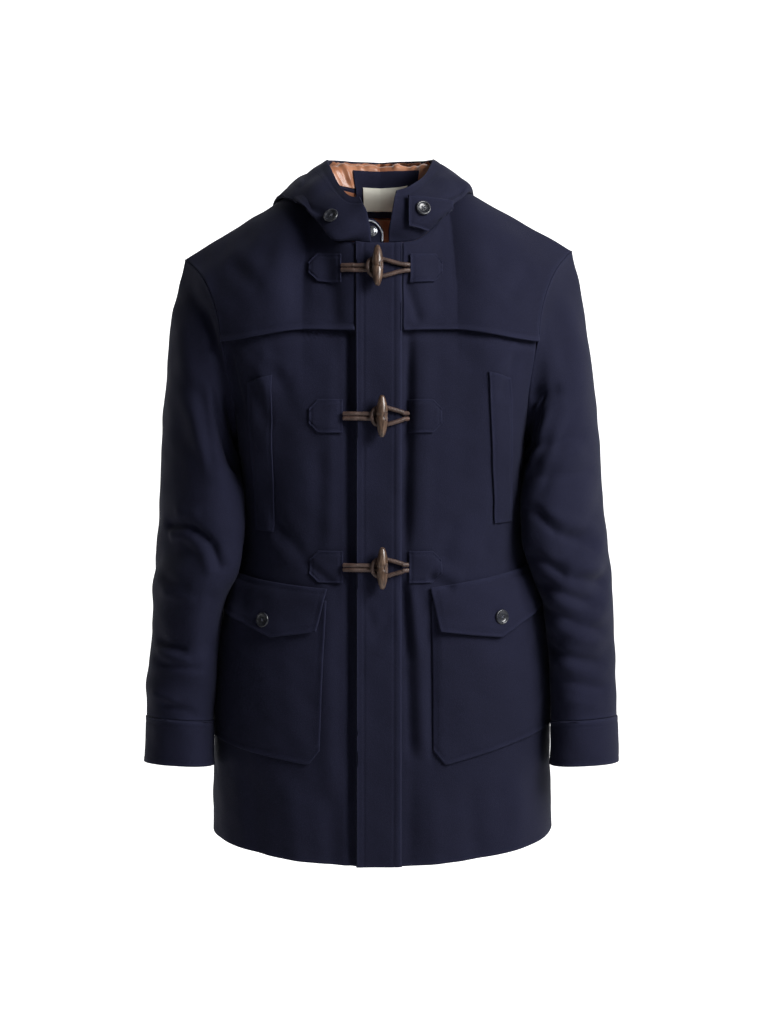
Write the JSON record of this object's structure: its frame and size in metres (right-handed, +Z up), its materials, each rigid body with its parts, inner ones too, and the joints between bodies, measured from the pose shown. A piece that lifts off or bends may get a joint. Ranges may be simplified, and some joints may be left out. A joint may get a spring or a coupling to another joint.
{
  "type": "duffle coat",
  "caption": "Hip-length hooded wool duffle coat, closed and filled out, with toggles on leather cord, yokes, patch pockets and a dropped lined hood.",
  "frame": {"origin": "centre of the neck base, level with the neck ends of the shoulder seams, where the wearer's shoulders hold the coat up", "axes": "+Z up along the wearer, -Y out of the front, +X towards the wearer's left arm"},
  "size_m": [0.5977, 0.3731, 0.864],
  "materials": {
    "wool": "navy wool melton, matt with a short nap",
    "satin": "copper satin lining, soft sheen",
    "label": "plain cream woven label, nothing on it",
    "horn": "polished brown horn-look toggle",
    "leather": "brown leather cord",
    "button": "near-black sewn button",
    "piping": "pale piping at the edge of the under-placket",
    "metal": "silver snap"
  },
  "bodies": {
    "root": {"front_left": "wool", "front_right": "wool", "back": "wool", "sleeve_left": "wool", "sleeve_right": "wool", "cuff_left": "wool", "cuff_right": "wool", "yoke_front_left": "wool", "yoke_front_right": "wool", "yoke_back": "wool", "placket": "wool", "toggle_patch_left_1": "wool", "toggle_patch_right_1": "wool", "toggle_patch_left_2": "wool", "toggle_patch_right_2": "wool", "toggle_patch_left_3": "wool", "toggle_patch_right_3": "wool", "toggle_cord_1": "leather", "toggle_cord_2": "leather", "toggle_cord_3": "leather", "loop_cord_1": "leather", "loop_cord_2": "leather", "loop_cord_3": "leather", "toggle_1": "horn", "toggle_2": "horn", "toggle_3": "horn", "welt_left": "wool", "welt_right": "wool", "pocket_left": "wool", "pocket_right": "wool", "flap_left": "wool", "flap_right": "wool", "flap_button_left": "button", "flap_button_right": "button", "hood_left": "wool", "hood_right": "wool", "hood_lining_left": "satin", "hood_lining_right": "satin", "neck_patch": "wool", "neck_label": "label", "neck_lining": "satin", "under_placket": "wool", "piping": "piping", "snap": "metal", "throat_tab": "wool", "tab_button": "button", "throat_button": "button"}
  },
  "joints": []
}
